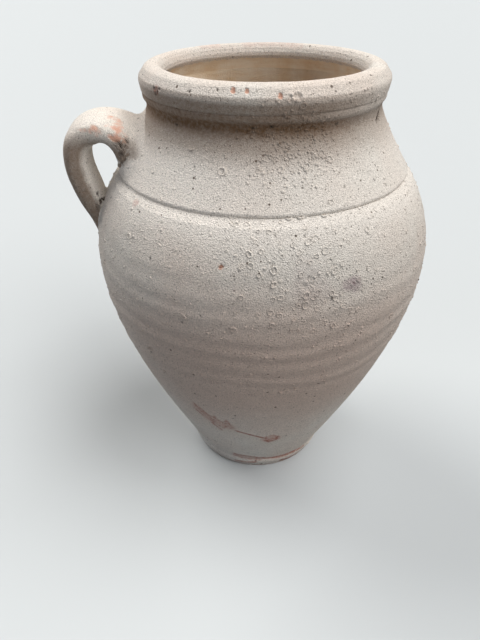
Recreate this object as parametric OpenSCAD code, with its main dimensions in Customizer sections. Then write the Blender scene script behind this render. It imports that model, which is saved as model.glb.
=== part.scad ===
// One-handled storage jar in fired terracotta, coated with limewash.
// The jar is thrown in sections that are joined while leather hard: a floor slab, a foot ring,
// the lower body, the belly, the shoulder, a neck collar and a rolled rim. A pulled strap handle
// is luted to the shoulder and the belly.
// Millimetres, +Z up. The origin is on the axis, in the plane that the foot stands on, and the
// handle points to -X.

/* [Body] */
// Height from the foot to the crest of the rim
jar_h = 420; // [415:1:430]
// Widest diameter, at the belly
belly_d = 316; // [304:2:326]
// Height of the widest place
belly_z = 256; // [250:1:262]
// Thickness of the thrown wall
wall = 11.5; // [9:0.5:13]
// Height of the seam between the lower body and the belly
body_seam_z = 172; // [150:1:200]

/* [Foot] */
// Diameter of the face that the jar stands on
foot_d = 148; // [140:1:154]
// Height of the foot ring and thickness of the floor slab
foot_h = 13; // [11:0.5:16]
// Diameter of the floor slab inside the foot ring
floor_d = 116; // [100:1:120]

/* [Shoulder groove] */
// Height of the bottom of the groove
groove_z = 335; // [332:0.5:338]
// Diameter of the shoulder at the groove
groove_d = 262; // [256:1:268]
// Depth of the groove
groove_depth = 1.8; // [1:0.1:3]

/* [Neck and rim] */
// Smallest outer diameter of the neck
neck_d = 201; // [196:1:204]
// Outer diameter of the rolled rim
rim_d = 211; // [208:1:216]
// Diameter of the open mouth, at its narrowest
mouth_d = 168; // [160:1:172]

/* [Handle] */
// Width of the strap, measured around the jar
handle_w = 43; // [34:1:46]
// Thickness of the strap
handle_t = 23; // [18:1:26]
// Distance from the axis to the middle of the strap where it stands out most
handle_reach = 165; // [162:1:172]
// Height at which the middle of the strap meets the shoulder
upper_root_z = 357; // [354:0.5:360]
// Height at which the middle of the strap meets the belly
lower_root_z = 292; // [286:0.5:296]
// Thickness of the luting clay under each end of the strap
luting_t = 4; // [3:0.5:6]

/* [Throwing rings] */
// Depth of the finger rings left on the body
ring_depth = 0.7; // [0:0.1:1.2]
// Height from one ring to the next
ring_pitch = 17; // [12:1:24]

/* [Hidden] */
$fn = 144;

limewash = "#D8CFC3";
bare_clay = "#C08A68";
luting_clay = "#CDBBA8";

// Spacing of the points along an outline, outside and inside the wall
outer_step = 4;
inner_step = 9;
// Each seam slopes, its inner edge this much higher than its outer edge
lap_h = 6;

// Foot: the ring flares upwards to a worn edge, with a shallow notch above it
foot_r = foot_d / 2;
floor_r = floor_d / 2;
foot_flare = 5;
foot_edge = 1.5;
notch_depth = 1.4;
notch_h = 2;
cove_h = 16;
shell_inset = 0.5;
shell_r = foot_r + foot_flare - shell_inset;
shell_z = foot_h + 2 * notch_h;
notch_r = foot_r + foot_flare - notch_depth;

// Body: three arcs, from the foot to the belly, to the groove and to the neck
belly_r = belly_d / 2;
groove_r = groove_d / 2;
neck_r = neck_d / 2;
neck_drop = 32;
neck_seam_drop = 46;
neck_z = jar_h - neck_drop;
neck_seam_z = jar_h - neck_seam_drop;
cone_slope = 0.45;
cone_run = 60;
belly_ease_below = 74;
belly_ease_above = 34;
shoulder_slope = -0.74;
shoulder_ease_below = 18.5;
shoulder_ease_above = 14;
neck_ease = 6;
slope_step = 0.5;
cone_arc = [[shell_r, shell_z], [shell_r + cone_slope * cone_run, shell_z + cone_run],
            [belly_r, belly_z - belly_ease_below], [belly_r, belly_z]];
belly_arc = [[belly_r, belly_z], [belly_r, belly_z + belly_ease_above],
             [groove_r - shoulder_slope * shoulder_ease_below, groove_z - shoulder_ease_below],
             [groove_r, groove_z]];
shoulder_arc = [[groove_r, groove_z],
                [groove_r + shoulder_slope * shoulder_ease_above, groove_z + shoulder_ease_above],
                [neck_r, neck_z - neck_ease], [neck_r, neck_z]];

// Throwing rings run over this stretch of the body, and fade out at both ends of it
ring_lo = 110;
ring_hi = 268;

// Groove: an eased lower lip and a steep upper edge
groove_lip = 5.5;
groove_edge = 1.4;
groove_point = [groove_r - groove_depth, groove_z];

// Rim: a round roll, flatter on the side of the mouth, over a narrow collar band
roll_r = 12.5;
roll_mid = [rim_d / 2 - roll_r, jar_h - roll_r];
roll_from = -20;
roll_step = 10;
lip_drop = 10;
mouth_r = mouth_d / 2;
rim_seam_drop = 20;
rim_lap_h = 2;
rim_seam_z = jar_h - rim_seam_drop;
collar_out = 2.9;
collar_h = 6;
collar_z = rim_seam_z - collar_h;
crease = 0.6;
rim_seam_out = [neck_r + collar_out - crease, rim_seam_z];
rim_seam_in = [neck_r - wall, rim_seam_z - rim_lap_h];

// Handle: the middle line of the strap is two arcs that meet upright at its outermost point
outermost_drop = 12.5;
handle_mid_z = upper_root_z - outermost_drop;
upper_root_angle = 45;
upper_root_run = 35;
upper_bend = 25;
lower_bend = 14;
lower_root_angle = 108;
lower_root_run = 23;
root_bury = 12;
strap_rings = 16;
strap_sides = 24;
outer_share = 0.44;
outer_square = 0.62;
inner_square = 0.92;
strap_nudge = 0.01;
width_flare = 0.75;
outer_flare = 0.5;
inner_flare = 0.07;
lower_flare = -0.18;
flare_span = 0.5;
luting_split_z = groove_z - groove_lip;

// Points and outlines
function bezier(c, t) =
    pow(1 - t, 3) * c[0] + 3 * pow(1 - t, 2) * t * c[1] + 3 * (1 - t) * t * t * c[2] + pow(t, 3) * c[3];
function height_t(c, z, lo = 0, hi = 1, turns = 30) =
    let (mid = (lo + hi) / 2)
    turns == 0 ? mid
    : bezier(c, mid).y < z ? height_t(c, z, mid, hi, turns - 1)
    : height_t(c, z, lo, mid, turns - 1);
function spaced(from, to, step) =
    let (n = ceil((to - from) / step)) [for (i = [0 : n]) from + (to - from) * i / n];
function turned(list) = [for (i = [len(list) - 1 : -1 : 0]) list[i]];

function body_arc(z) = z <= belly_z ? cone_arc : z <= groove_z ? belly_arc : shoulder_arc;
function body_r(z) = z >= neck_z ? neck_r : bezier(body_arc(z), height_t(body_arc(z), z)).x;
function body_slope(z) = (body_r(z + slope_step) - body_r(z - slope_step)) / (2 * slope_step);
function off_wall(z, out) =
    let (s = body_slope(z), k = out / sqrt(1 + s * s)) [body_r(z) + k, z - k * s];

function ring_fade(z) = sin(180 * (z - ring_lo) / (ring_hi - ring_lo));
function ring_cut(z) =
    z < ring_lo || z > ring_hi ? 0
    : ring_depth / 2 * (1 - cos(360 * (z - ring_lo) / ring_pitch)) * ring_fade(z);
function outside(from, to) =
    [for (z = spaced(from, to, outer_step)) [body_r(z) - ring_cut(z), z]];
function inside(from, to) = [for (z = turned(spaced(from, to, inner_step))) off_wall(z, -wall)];

belly_outside = concat(outside(body_seam_z, groove_z - groove_lip), [groove_point]);
shoulder_outside = concat([groove_point], outside(groove_z + groove_edge, neck_seam_z));
neck_outside = concat(outside(neck_seam_z, neck_z),
                      [[neck_r + collar_out / 2, collar_z],
                       [neck_r + collar_out, rim_seam_z - crease], rim_seam_out]);

// The strap as a stack of rings along its middle line, flatter on its outer side than inside
function along(angle) = [cos(angle), sin(angle)];
upper_root = [body_r(upper_root_z), upper_root_z];
lower_root = [body_r(lower_root_z), lower_root_z];
strap_out = [handle_reach, handle_mid_z];
upper_strap = [upper_root, upper_root + upper_root_run * along(upper_root_angle),
               strap_out + [0, upper_bend], strap_out];
lower_strap = [strap_out, strap_out - [0, lower_bend],
               lower_root + lower_root_run * along(180 - lower_root_angle), lower_root];
function strap_at(t) =
    t < 0 ? upper_root + root_bury * t * along(upper_root_angle)
    : t > 2 ? lower_root - root_bury * (t - 2) * along(180 - lower_root_angle)
    : t <= 1 ? bezier(upper_strap, t) : bezier(lower_strap, t - 1);
function strap_flare(t, upper_flare) =
    1 + upper_flare * pow(max(0, 1 - max(t, 0) / flare_span), 2)
      + lower_flare * pow(max(0, 1 - max(2 - t, 0) / flare_span), 2);
function softened(x, power) = sign(x) * pow(abs(x), power);
strap_steps = concat([-1], [for (i = [0 : 2 * strap_rings]) i / strap_rings], [3]);
function strap_ring(t) =
    let (ahead = strap_at(t + strap_nudge) - strap_at(t - strap_nudge),
         side = [-ahead.y, ahead.x] / norm(ahead), mid = strap_at(t),
         outer_t = handle_t * outer_share * strap_flare(t, outer_flare),
         inner_t = handle_t * (1 - outer_share) * strap_flare(t, inner_flare),
         half_w = handle_w / 2 * strap_flare(t, width_flare))
    [for (j = [0 : strap_sides - 1])
        let (a = 360 * j / strap_sides, outer = a < 180,
             square = outer ? outer_square : inner_square,
             p = mid + side * (outer ? outer_t : inner_t) * softened(sin(a), square))
        [-p.x, half_w * softened(cos(a), square), p.y]];
strap_points = [for (t = strap_steps) each strap_ring(t)];
strap_last = (len(strap_steps) - 1) * strap_sides;
strap_faces = concat(
    [[for (j = [strap_sides - 1 : -1 : 0]) j]],
    [for (i = [0 : len(strap_steps) - 2], j = [0 : strap_sides - 1])
        let (a = i * strap_sides + j, b = i * strap_sides + (j + 1) % strap_sides)
        each [[a, b, a + strap_sides], [b, b + strap_sides, a + strap_sides]]],
    [[for (j = [0 : strap_sides - 1]) strap_last + j]]);

// Shared shapes
module turned_piece(outline) rotate_extrude() polygon(outline);

module wall_section(outer, from, to) turned_piece(concat(outer, inside(from + lap_h, to + lap_h)));

module strap_blank() polyhedron(strap_points, strap_faces);

module jar_envelope()
    turned_piece(concat([[0, body_seam_z]], belly_outside, shoulder_outside, neck_outside,
                        [[0, rim_seam_z]]));

module luting_envelope()
    turned_piece(concat([[0, body_seam_z]],
                        [for (z = spaced(body_seam_z, rim_seam_z, inner_step)) off_wall(z, luting_t)],
                        [[0, rim_seam_z]]));

module luting_pads() {
    difference() {
        intersection() {
            strap_blank();
            luting_envelope();
        }
        jar_envelope();
    }
}

module handle_side(from, to)
    translate([-2 * belly_r, -belly_r, from]) cube([2 * belly_r, 2 * belly_r, to - from]);

// Flat disc that closes the jar
module base_slab() color(bare_clay) cylinder(h = foot_h, r = floor_r);

// Ring that the jar stands on, butted round the slab
module foot_ring()
    color(limewash) turned_piece([[floor_r, 0], [foot_r - foot_edge, 0], [foot_r, foot_edge],
                                  [foot_r + foot_flare, foot_h - notch_h], [notch_r, foot_h],
                                  [floor_r, foot_h]]);

// Tapered lower wall, coved inside where it meets the floor
module lower_body()
    color(limewash) turned_piece(concat([[notch_r, foot_h]], outside(shell_z, body_seam_z),
                                        inside(foot_h + cove_h, body_seam_z + lap_h),
                                        [[floor_r, foot_h]]));

// Widest section, up to the groove
module belly() color(limewash) wall_section(belly_outside, body_seam_z, groove_z);

// Sloping section above the groove
module shoulder() color(limewash) wall_section(shoulder_outside, groove_z, neck_seam_z);

// Short neck with the narrow band under the roll
module neck_collar()
    color(limewash) turned_piece(concat(neck_outside, [rim_seam_in],
                                        inside(neck_seam_z + lap_h, neck_z)));

// Rolled rim
module rim_roll()
    color(limewash) turned_piece(concat(
        [rim_seam_out, [neck_r + collar_out + crease, rim_seam_z + crease]],
        [for (a = [roll_from : roll_step : 90]) roll_mid + roll_r * along(a)],
        [for (a = [90 + roll_step : roll_step : 180])
            [roll_mid.x + (roll_mid.x - mouth_r) * cos(a), jar_h - lip_drop + lip_drop * sin(a)]],
        [rim_seam_in]));

// Pulled strap, flared where it meets the shoulder
module handle_strap()
    color(limewash) difference() {
        strap_blank();
        luting_envelope();
    }

// Clay pads that hold the ends of the strap
module upper_luting()
    color(luting_clay) intersection() {
        luting_pads();
        handle_side(luting_split_z, jar_h);
    }

module lower_luting()
    color(luting_clay) intersection() {
        luting_pads();
        handle_side(0, luting_split_z);
    }

base_slab();
foot_ring();
lower_body();
belly();
shoulder();
neck_collar();
rim_roll();
handle_strap();
upper_luting();
lower_luting();
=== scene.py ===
import math
import bpy
import numpy as np
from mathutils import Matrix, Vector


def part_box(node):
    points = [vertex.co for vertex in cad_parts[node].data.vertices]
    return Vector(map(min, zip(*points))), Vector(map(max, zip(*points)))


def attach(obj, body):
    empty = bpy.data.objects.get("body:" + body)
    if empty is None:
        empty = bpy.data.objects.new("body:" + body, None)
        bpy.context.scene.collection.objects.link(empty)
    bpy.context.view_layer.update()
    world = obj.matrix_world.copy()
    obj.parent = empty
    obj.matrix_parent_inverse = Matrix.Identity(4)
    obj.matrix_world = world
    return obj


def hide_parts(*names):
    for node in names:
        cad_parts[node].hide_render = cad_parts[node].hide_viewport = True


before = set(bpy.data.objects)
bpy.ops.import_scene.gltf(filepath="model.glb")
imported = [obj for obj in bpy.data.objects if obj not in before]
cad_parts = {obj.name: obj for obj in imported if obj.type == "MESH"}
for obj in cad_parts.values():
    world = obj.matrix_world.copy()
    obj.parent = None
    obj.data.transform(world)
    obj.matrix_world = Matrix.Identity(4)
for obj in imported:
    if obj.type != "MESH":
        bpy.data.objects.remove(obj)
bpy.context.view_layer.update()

# Floor slab
# A round of red earthenware, beaten flat and cut, that closes the bottom of the jar. It is bare clay
# on both faces, and the foot ring and the lower wall are luted round its edge.
mm = 0.001


def reach(node):
    """Lowest and highest corner of a piece of the solid model, in mm."""
    low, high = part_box(node)
    return low / mm, high / mm


def linear(colour):
    """An sRGB hex colour as linear red, green, blue and alpha."""
    channels = [int(colour[k:k + 2], 16) / 255 for k in (1, 3, 5)]
    return [c / 12.92 if c <= 0.04045 else ((c + 0.055) / 1.055) ** 2.4 for c in channels] + [1]


def put(tree, kind, inputs, **settings):
    """Adds a node, sets it, sets or links its inputs, and returns its outputs."""
    node = tree.nodes.new(kind)
    for name, value in settings.items():
        setattr(node, name, value)
    for key, value in inputs.items():
        if isinstance(value, bpy.types.NodeSocket):
            tree.links.new(value, node.inputs[key])
        else:
            node.inputs[key].default_value = value
    return node.outputs


# A colour Mix node's two colours and its result, by their place among its sockets
UNDER, OVER, MIXED = 6, 7, 2

# Bare terracotta: red earthenware fired in an open kiln, matt and sandy, paler where salts and lime
# have come to the surface. Its clouds are sized in mm.
bare_terracotta = bpy.data.materials.new("bare_terracotta")
bare_terracotta.use_nodes = True
clay_tree = bare_terracotta.node_tree
clay_place = put(clay_tree, "ShaderNodeTexCoord", {})["Object"]
clay_clouds = {
    label: put(clay_tree, "ShaderNodeTexNoise", {
        "Vector": clay_place, "Scale": 1 / (size * mm), "Detail": 3})[0]
    for label, size in (("patch", 45), ("salt", 7), ("sand", 1.6))}
clay_colour = put(clay_tree, "ShaderNodeMix", {
    0: clay_clouds["patch"], UNDER: linear("#D8BC9C"), OVER: linear("#EAD6BE")}, data_type="RGBA")[MIXED]
salt = put(clay_tree, "ShaderNodeMapRange", {
    "Value": clay_clouds["salt"], "From Min": 0.5, "From Max": 0.75, "To Max": 0.6})[0]
clay_colour = put(clay_tree, "ShaderNodeMix", {
    0: salt, UNDER: clay_colour, OVER: linear("#E6D6C4")}, data_type="RGBA")[MIXED]
clay_sand = put(clay_tree, "ShaderNodeBump", {
    "Height": clay_clouds["sand"], "Distance": 0.4 * mm, "Strength": 0.7})[0]
clay_shader = clay_tree.nodes["Principled BSDF"]
clay_shader.inputs["Roughness"].default_value = 0.93
clay_tree.links.new(clay_colour, clay_shader.inputs["Base Color"])
clay_tree.links.new(clay_sand, clay_shader.inputs["Normal"])


def grow_tree(name, sizes):
    """A tree with a geometry input, the named inputs and a geometry output, and its inputs."""
    tree = bpy.data.node_groups.new(name, "GeometryNodeTree")
    tree.interface.new_socket("Geometry", in_out="INPUT", socket_type="NodeSocketGeometry")
    for label, kind in sizes.items():
        tree.interface.new_socket(label, in_out="INPUT", socket_type=kind)
    tree.interface.new_socket("Geometry", in_out="OUTPUT", socket_type="NodeSocketGeometry")
    return tree, put(tree, "NodeGroupInput", {})


# The wheel turns a closed outline round the axis. Each point of the outline carries how far out and
# up the skin moves there when it is worked, and whether the clay has a corner there.
wheel, wheel_input = grow_tree("turned_on_the_wheel", {"Sides": "NodeSocketInt", "Hub": "NodeSocketFloat"})
outline_curve = put(wheel, "GeometryNodeMeshToCurve", {"Mesh": wheel_input["Geometry"]})["Curve"]
turning = put(wheel, "GeometryNodeCurvePrimitiveCircle", {
    "Resolution": wheel_input["Sides"], "Radius": wheel_input["Hub"]})["Curve"]
swept = put(wheel, "GeometryNodeCurveToMesh", {"Curve": turning, "Profile Curve": outline_curve})["Mesh"]
welded = put(wheel, "GeometryNodeMergeByDistance", {"Geometry": swept, "Distance": 0.001 * mm})["Geometry"]
spot_place = put(wheel, "GeometryNodeInputPosition", {})["Position"]
level_place = put(wheel, "ShaderNodeVectorMath", {0: spot_place, 1: (1, 1, 0)}, operation="MULTIPLY")[0]
outward = put(wheel, "ShaderNodeVectorMath", {0: level_place}, operation="NORMALIZE")[0]
carried = {
    label: put(wheel, "GeometryNodeInputNamedAttribute", {"Name": label}, data_type="FLOAT")[0]
    for label in ("out", "up", "corner")}
out_push = put(wheel, "ShaderNodeVectorMath", {0: outward, "Scale": carried["out"]}, operation="SCALE")[0]
up_push = put(wheel, "ShaderNodeCombineXYZ", {"Z": carried["up"]})[0]
push = put(wheel, "ShaderNodeVectorMath", {0: out_push, 1: up_push}, operation="ADD")[0]
pushed = put(wheel, "GeometryNodeStoreNamedAttribute", {
    "Geometry": welded, "Name": "push", "Value": push}, data_type="FLOAT_VECTOR")["Geometry"]
smooth = put(wheel, "GeometryNodeSetShadeSmooth", {0: pushed, "Shade Smooth": True}, domain="FACE")[0]
at_corner = put(wheel, "FunctionNodeCompare", {0: carried["corner"], 1: 0.9}, operation="GREATER_THAN")[0]
creased = put(wheel, "GeometryNodeSetShadeSmooth", {
    0: smooth, "Selection": at_corner, "Shade Smooth": False}, domain="EDGE")[0]
put(wheel, "NodeGroupOutput", {"Geometry": creased})

# The worked skin: the slow wobble of a thrown wall, finger rings, lumps and sand in the wash, each moved
# along the skin's own push. The upper body also leans a little. Sizes and heights are in mm.
skin_clouds = (("Wobble", 130, 1), ("Lump height", 17, 2), ("Sand height", 3.2, 1))
ring_drift_size = 150
ring_drift = 42
ring_force_size = 33
ring_fades = ((110, 205), (318, 262))
lean_start, lean_full = 150, 330
worked_skin, skin_input = grow_tree("worked_skin", {
    "Wobble": "NodeSocketFloat", "Ring depth": "NodeSocketFloat", "Ring pitch": "NodeSocketFloat",
    "Lump height": "NodeSocketFloat", "Sand height": "NodeSocketFloat", "Lean": "NodeSocketFloat",
    "Finish": "NodeSocketMaterial"})
skin_place = put(worked_skin, "GeometryNodeInputPosition", {})["Position"]
skin_x, _, skin_z = put(worked_skin, "ShaderNodeSeparateXYZ", {0: skin_place})
workings = []
for label, size, detail in skin_clouds:
    cloud = put(worked_skin, "ShaderNodeTexNoise", {
        "Vector": skin_place, "Scale": 1 / (size * mm), "Detail": detail})[0]
    workings.append((label, put(worked_skin, "ShaderNodeMapRange", {
        "Value": cloud, "To Min": -1, "To Max": 1})[0]))
drift = put(worked_skin, "ShaderNodeTexNoise", {
    "Vector": skin_place, "Scale": 1 / (ring_drift_size * mm), "Detail": 1})[0]
ring_place = put(worked_skin, "ShaderNodeMath", {
    0: drift, 1: ring_drift * mm, 2: skin_z}, operation="MULTIPLY_ADD")[0]
ring_count = put(worked_skin, "ShaderNodeMath", {
    0: ring_place, 1: skin_input["Ring pitch"]}, operation="DIVIDE")[0]
ring_turn = put(worked_skin, "ShaderNodeMath", {0: ring_count, 1: math.tau}, operation="MULTIPLY")[0]
ring = put(worked_skin, "ShaderNodeMath", {0: ring_turn}, operation="COSINE")[0]
ring_force = put(worked_skin, "ShaderNodeTexNoise", {
    "W": ring_place, "Scale": 1 / (ring_force_size * mm), "Detail": 0}, noise_dimensions="1D")[0]
ring_force = put(worked_skin, "ShaderNodeMapRange", {
    "Value": ring_force, "From Min": 0.35, "From Max": 0.65, "To Min": 0.1, "To Max": 1.2})[0]
ring = put(worked_skin, "ShaderNodeMath", {0: ring, 1: ring_force}, operation="MULTIPLY")[0]
for start, full in ring_fades:
    fade = put(worked_skin, "ShaderNodeMapRange", {
        "Value": skin_z, "From Min": start * mm, "From Max": full * mm},
        interpolation_type="SMOOTHSTEP")[0]
    ring = put(worked_skin, "ShaderNodeMath", {0: ring, 1: fade}, operation="MULTIPLY")[0]
workings.append(("Ring depth", ring))
rise = 0.0
for label, pattern in workings:
    rise = put(worked_skin, "ShaderNodeMath", {
        0: pattern, 1: skin_input[label], 2: rise}, operation="MULTIPLY_ADD")[0]
skin_push = put(worked_skin, "GeometryNodeInputNamedAttribute", {
    "Name": "push"}, data_type="FLOAT_VECTOR")[0]
worked = put(worked_skin, "ShaderNodeVectorMath", {0: skin_push, "Scale": rise}, operation="SCALE")[0]
leaning = put(worked_skin, "ShaderNodeMapRange", {
    "Value": skin_z, "From Min": lean_start * mm, "From Max": lean_full * mm})[0]
for part in (skin_x, skin_input["Lean"]):
    leaning = put(worked_skin, "ShaderNodeMath", {0: leaning, 1: part}, operation="MULTIPLY")[0]
lift = put(worked_skin, "ShaderNodeCombineXYZ", {"Z": leaning})[0]
worked = put(worked_skin, "ShaderNodeVectorMath", {0: worked, 1: lift}, operation="ADD")[0]
moved = put(worked_skin, "GeometryNodeSetPosition", {
    "Geometry": skin_input["Geometry"], "Offset": worked})[0]
realized = put(worked_skin, "GeometryNodeRealizeInstances", {"Geometry": moved})[0]
finished = put(worked_skin, "GeometryNodeSetMaterial", {
    "Geometry": realized, "Material": skin_input["Finish"]})[0]
put(worked_skin, "NodeGroupOutput", {"Geometry": finished})

wheel_hub = 50 * mm
round_sides = 720
thrown = {
    "Wobble": 0.5 * mm, "Ring depth": 0.42 * mm, "Ring pitch": 19 * mm, "Lump height": 0.2 * mm,
    "Sand height": 0.09 * mm, "Lean": 0.008}
beaten = {"Lump height": 0.5 * mm, "Sand height": 0.2 * mm}


def shaped_by(piece, tree, sizes):
    """Gives a piece a modifier that holds the tree, with the tree's inputs set."""
    modifier = piece.modifiers.new(tree.name, "NODES")
    modifier.node_group = tree
    for item in tree.interface.items_tree:
        if item.name in sizes:
            modifier[item.identifier] = sizes[item.name]


def settle(piece):
    """Makes what a piece's modifiers give its own plain mesh."""
    graph = bpy.context.evaluated_depsgraph_get()
    mesh = bpy.data.meshes.new_from_object(
        piece.evaluated_get(graph), preserve_all_data_layers=True, depsgraph=graph)
    piece.modifiers.clear()
    piece.data = mesh


def stretch(points, out, up=0.0, wash=1.0, corners=(True, True)):
    """Rows of an outline: radius, height, push out, push up, share of wash, and corner."""
    points = np.asarray(points, float)
    corner = np.zeros(len(points))
    corner[0], corner[-1] = corners
    parts = [np.broadcast_to(part, len(points)) for part in (out, up, wash)]
    return np.column_stack([points, *parts, corner])


def turned(name, rows, finish, sizes):
    """A piece turned on the wheel from the rows of its outline, up the outside and down the inside."""
    rows = np.vstack(rows)[::-1]
    count = len(rows)
    mesh = bpy.data.meshes.new(name)
    mesh.from_pydata([(r * mm - wheel_hub, -z * mm, 0) for r, z in rows[:, :2]],
                     [(k, (k + 1) % count) for k in range(count)], [])
    for label, values in zip(("out", "up", "wash", "corner"), rows.T[2:]):
        mesh.attributes.new(label, "FLOAT", "POINT").data.foreach_set("value", values)
    piece = bpy.data.objects.new(name, mesh)
    bpy.context.scene.collection.objects.link(piece)
    shaped_by(piece, wheel, {"Sides": round_sides, "Hub": wheel_hub})
    shaped_by(piece, worked_skin, {**sizes, "Finish": finish})
    settle(piece)
    return piece


def even(points, step):
    """The same line, with its points about one step apart."""
    points = np.asarray(points, float)
    run = np.concatenate([[0], np.cumsum(np.hypot(*np.diff(points, axis=0).T))])
    marks = np.linspace(0, run[-1], max(2, round(run[-1] / step) + 1))
    return np.column_stack([np.interp(marks, run, points[:, k]) for k in (0, 1)])


_, slab_high = reach("base_slab")
slab_r = slab_high.x
floor_z = slab_high.z
slab_step = 6
floor_slab = turned("floor_slab", [
    stretch(even([(0, 0), (slab_r, 0)], slab_step), 0, wash=0),
    stretch(even([(slab_r, floor_z), (0, floor_z)], slab_step), 0, up=0.7, wash=0)],
    bare_terracotta, beaten)
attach(floor_slab, "root")
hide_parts("base_slab")

# Foot ring
# A short flared ring of the same clay that the jar stands on, turned under the lower wall and
# limewashed with it. Its standing edge and the edge of its flare are rubbed back to the red clay.

# Limewash on terracotta: slaked lime with sand in it, brushed on thickly in two coats. It dries matt,
# warm white and gritty, and shows the clay as mauve where it is thin and as orange where it is worn.
limewash = bpy.data.materials.new("limewash_on_terracotta")
limewash.use_nodes = True
tree = limewash.node_tree
place = put(tree, "ShaderNodeTexCoord", {})["Object"]
height = put(tree, "ShaderNodeSeparateXYZ", {0: place})["Z"]
wash_clouds = (("patch", 60, 2), ("mottle", 15, 3), ("flake", 6, 4), ("fray", 2.6, 3), ("sand", 1.0, 2))
clouds = {
    label: put(tree, "ShaderNodeTexNoise", {
        "Vector": place, "Scale": 1 / (size * mm), "Detail": detail})[0]
    for label, size, detail in wash_clouds}
brush_line = 2.2
streak_place = put(tree, "ShaderNodeMapping", {"Vector": place, "Scale": (0.12, 0.12, 1)})[0]
streak = put(tree, "ShaderNodeTexNoise", {
    "Vector": streak_place, "Scale": 1 / (brush_line * mm), "Detail": 2})[0]
share = {
    label: put(tree, "ShaderNodeAttribute", {}, attribute_name=label)["Fac"]
    for label in ("wash", "thin", "thick", "bare", "scuff", "stain", "grime", "dark")}

# The coat: warm and cool patches, grey mottling, thin and thick places, and flecks of sand. On the handle
# strap the thick coat's whiter colour is painted light on its top and inner side.
warmth = put(tree, "ShaderNodeMapRange", {"Value": clouds["patch"], "From Min": 0.35, "From Max": 0.65})[0]
colour = put(tree, "ShaderNodeMix", {
    0: warmth, UNDER: linear("#E9E2D9"), OVER: linear("#E8DBD0")}, data_type="RGBA")[MIXED]
greyed = put(tree, "ShaderNodeMapRange", {
    "Value": clouds["mottle"], "From Min": 0.5, "From Max": 0.8, "To Max": 0.45})[0]
for cover, shade in ((greyed, "#D6CDC4"), (share["thin"], "#D1BBAE"), (share["thick"], "#FBF3EA")):
    colour = put(tree, "ShaderNodeMix", {
        0: cover, UNDER: colour, OVER: linear(shade)}, data_type="RGBA")[MIXED]
fleck = put(tree, "ShaderNodeMapRange", {
    "Value": clouds["sand"], "From Min": 0.3, "From Max": 0.7, "To Min": 0.71, "To Max": 1.14})[0]
colour = put(tree, "ShaderNodeMix", {
    0: 1.0, UNDER: colour, OVER: fleck}, data_type="RGBA", blend_type="MULTIPLY")[MIXED]

# Dark dots of two sizes: pinholes all over, and here and there a pit left by a lump of lime. Each kind has
# a spacing in mm, a share of places without a dot, its largest size as a share of the spacing, and a depth.
pit_kinds = ((2.5, 0.25, 0.25, 0.6), (9, 0.45, 0.14, 0.9))
pits = 0.0
for spacing, without, largest, depth in pit_kinds:
    pit_cells = put(tree, "ShaderNodeTexVoronoi", {"Vector": place, "Scale": 1 / (spacing * mm)})
    pit_chance = put(tree, "ShaderNodeSeparateXYZ", {0: pit_cells["Color"]})[0]
    pit_r = put(tree, "ShaderNodeMapRange", {
        "Value": pit_chance, "From Min": without, "To Max": largest})[0]
    pit = put(tree, "ShaderNodeMath", {0: pit_cells["Distance"], 1: pit_r}, operation="LESS_THAN")[0]
    pits = put(tree, "ShaderNodeMath", {0: pit, 1: depth, 2: pits}, operation="MULTIPLY_ADD")[0]
colour = put(tree, "ShaderNodeMix", {
    0: pits, UNDER: colour, OVER: linear("#6E6156")}, data_type="RGBA")[MIXED]

# Clay that shows: pale where the wash is only rubbed thin, deep orange in a fresh chip
rubbed_clay = put(tree, "ShaderNodeMix", {
    0: clouds["mottle"], UNDER: linear("#DA9F87"), OVER: linear("#ECCAB7")}, data_type="RGBA")[MIXED]
chipped = put(tree, "ShaderNodeMapRange", {"Value": share["bare"], "From Min": 0.8})[0]
clay = put(tree, "ShaderNodeMix", {
    0: chipped, UNDER: rubbed_clay, OVER: linear("#BF7755")}, data_type="RGBA")[MIXED]
flaked = put(tree, "ShaderNodeMath", {0: clouds["flake"], 1: 0.5}, operation="SUBTRACT")[0]
worn = put(tree, "ShaderNodeMath", {0: flaked, 1: 1.7, 2: share["bare"]}, operation="MULTIPLY_ADD")[0]
worn = put(tree, "ShaderNodeMapRange", {"Value": worn, "From Min": 0.38, "From Max": 0.8})[0]
colour = put(tree, "ShaderNodeMix", {0: worn, UNDER: colour, OVER: clay}, data_type="RGBA")[MIXED]

# The inside was never washed: bare clay with the fingers' streaks, up to a frayed edge of the coat. Its
# colours are set paler than the bare clay outside, as painted light inside the mouth.
inside_tone = put(tree, "ShaderNodeMath", {
    0: streak, 1: 0.5, 2: clouds["mottle"]}, operation="MULTIPLY_ADD")[0]
inside_tone = put(tree, "ShaderNodeMapRange", {"Value": inside_tone, "From Min": 0.55, "From Max": 0.95})[0]
inside_clay = put(tree, "ShaderNodeMix", {
    0: inside_tone, UNDER: linear("#EDD3B2"), OVER: linear("#FAEBD6")}, data_type="RGBA")[MIXED]
frayed = put(tree, "ShaderNodeMath", {0: clouds["fray"], 1: 0.5}, operation="SUBTRACT")[0]
coat = put(tree, "ShaderNodeMath", {0: frayed, 1: 0.8, 2: share["wash"]}, operation="MULTIPLY_ADD")[0]
coat = put(tree, "ShaderNodeMapRange", {"Value": coat, "From Min": 0.4, "From Max": 0.6})[0]
colour = put(tree, "ShaderNodeMix", {0: coat, UNDER: inside_clay, OVER: colour}, data_type="RGBA")[MIXED]

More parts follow.
